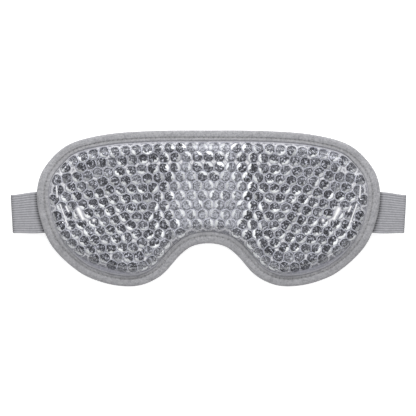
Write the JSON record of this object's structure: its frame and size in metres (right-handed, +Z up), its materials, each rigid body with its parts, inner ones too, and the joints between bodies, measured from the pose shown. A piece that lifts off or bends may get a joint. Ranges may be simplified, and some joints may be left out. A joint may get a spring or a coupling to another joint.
{
  "type": "gel bead eye mask",
  "caption": "Contoured eye mask: clear film pouch of gel beads on a plush back, bound with tape, with folding elastic straps and a hook-and-loop closure.",
  "frame": {"origin": "middle of the bounding box, on the surface that the mask lies on", "axes": "+X along the mask to the end of its right strap, +Y towards the forehead edge, +Z up through the gel pouch"},
  "size_m": [0.2546, 0.1004, 0.012],
  "materials": {
    "clear_film": "clear, glossy",
    "gel_bead": "clear gel, wet gloss",
    "plush": "short pile plush",
    "binding": "matte knit tape",
    "thread": "polyester thread",
    "elastic": "ribbed woven elastic",
    "hook": "moulded nylon hooks on tape",
    "loop": "brushed nylon loops"
  },
  "bodies": {
    "mask": {"front_film": "clear_film", "rear_film": "clear_film", "gel_bead_layer": "gel_bead", "plush_backing": "plush", "binding_tape": "binding", "binding_needle_thread": "thread", "binding_bobbin_thread": "thread", "left_strap_anchor": "elastic", "left_anchor_stitching": "thread", "left_strap_fold": "elastic", "right_strap_anchor": "elastic", "right_anchor_stitching": "thread", "right_strap_fold": "elastic"},
    "left_strap": {"left_strap_run": "elastic", "hook_pad": "hook", "hook_pad_stitching": "thread"},
    "right_strap": {"right_strap_run": "elastic", "loop_pad": "loop", "loop_pad_stitching": "thread"}
  },
  "joints": [
    {"name": "left_strap_swing", "type": "hinge", "parent": "mask", "child": "left_strap", "pos_m": [-0.1245, -0.00358, 0.0021], "axis": [-0.0576, 0.9983, 0], "range_deg": [0, 178], "deforming": ["left_strap_fold"]},
    {"name": "right_strap_swing", "type": "hinge", "parent": "mask", "child": "right_strap", "pos_m": [0.12515, -0.00362, 0.00275], "axis": [-0.0576, -0.9983, 0], "range_deg": [0, 178], "deforming": ["right_strap_fold"]}
  ]
}
